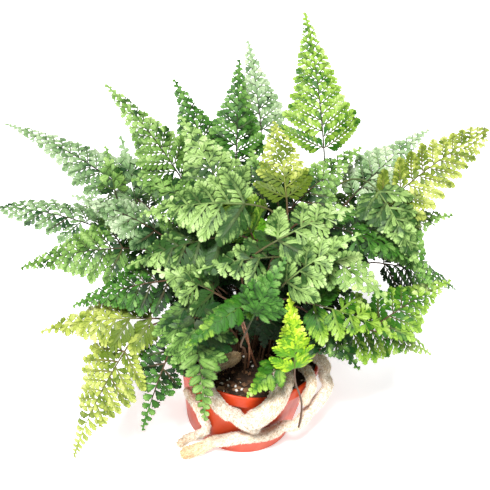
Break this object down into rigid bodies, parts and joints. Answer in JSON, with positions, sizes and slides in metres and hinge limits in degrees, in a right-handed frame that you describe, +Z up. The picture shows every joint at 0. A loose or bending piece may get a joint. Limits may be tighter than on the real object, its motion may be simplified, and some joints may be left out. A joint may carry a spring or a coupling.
{
  "type": "potted fern",
  "caption": "Potted fern: finely cut triangular fronds on thin stalks over a tapered round pot, with thick furry rhizomes creeping over the soil and down the pot's side.",
  "frame": {"origin": "centre of the pot's flat base, on the floor", "axes": "+Z up along the pot's axis; -Y towards the viewer of the picture; +X to that viewer's right"},
  "size_m": [0.4554, 0.3354, 0.3554],
  "materials": {
    "pot_plastic": "satin",
    "soil": "matte",
    "rhizome_fur": "matte",
    "leaf_bright": "satin",
    "leaf_mid": "satin",
    "leaf_grey": "satin",
    "leaf_dark": "satin",
    "leaf_light": "satin",
    "leaf_yellow": "satin",
    "leaf_lime": "satin"
  },
  "bodies": {
    "root": {"pot": "pot_plastic", "soil": "soil", "rhizome_left_band": "rhizome_fur", "rhizome_right_mass": "rhizome_fur", "rhizome_outer": "rhizome_fur", "rhizome_left_short": "rhizome_fur", "rhizome_right_inner": "rhizome_fur", "rhizome_soil_back": "rhizome_fur", "rhizome_back_left": "rhizome_fur", "rhizome_back_right": "rhizome_fur", "frond_hero_top": "leaf_bright", "frond_left_high": "leaf_mid", "frond_left_far": "leaf_grey", "frond_right_far": "leaf_yellow", "frond_droop_yellow": "leaf_yellow", "frond_left_yellow": "leaf_yellow", "frond_droop_big": "leaf_mid", "frond_left_comb": "leaf_grey", "frond_back_narrow": "leaf_grey", "frond_back_dark": "leaf_dark", "frond_back_left_dark": "leaf_dark", "frond_right_high": "leaf_grey", "frond_back_right": "leaf_mid", "frond_right_bright": "leaf_bright", "frond_right_low": "leaf_bright", "frond_small_lime": "leaf_lime", "frond_small_bright": "leaf_bright", "frond_front_bright": "leaf_bright", "frond_front_dark": "leaf_dark", "frond_front_light": "leaf_light", "frond_centre_left": "leaf_light", "frond_centre_low_left": "leaf_light", "frond_centre_yellow": "leaf_yellow", "frond_right_grey": "leaf_light", "frond_right_light": "leaf_light", "frond_right_front": "leaf_mid", "frond_right_front_low": "leaf_bright", "frond_right_inner_dark": "leaf_dark", "frond_right_droop_light": "leaf_light", "frond_right_droop_dark": "leaf_dark", "frond_right_level": "leaf_mid", "frond_left_light": "leaf_light", "frond_left_mid": "leaf_grey", "frond_left_low": "leaf_mid", "frond_left_cluster": "leaf_mid", "frond_left_dark": "leaf_dark", "frond_left_inner": "leaf_mid", "frond_centre_right_back": "leaf_mid", "frond_droop_dark": "leaf_dark", "frond_centre_bright": "leaf_bright", "frond_left_low_pale": "leaf_light", "frond_small_right": "leaf_mid", "frond_back_low_left": "leaf_mid", "frond_back_low_mid_left": "leaf_dark", "frond_back_low_mid": "leaf_mid", "frond_back_low_mid_right": "leaf_grey", "frond_back_low_right": "leaf_mid", "frond_right_back_low": "leaf_dark", "frond_back_skirt_left": "leaf_mid", "frond_back_skirt_right": "leaf_bright"}
  },
  "joints": []
}
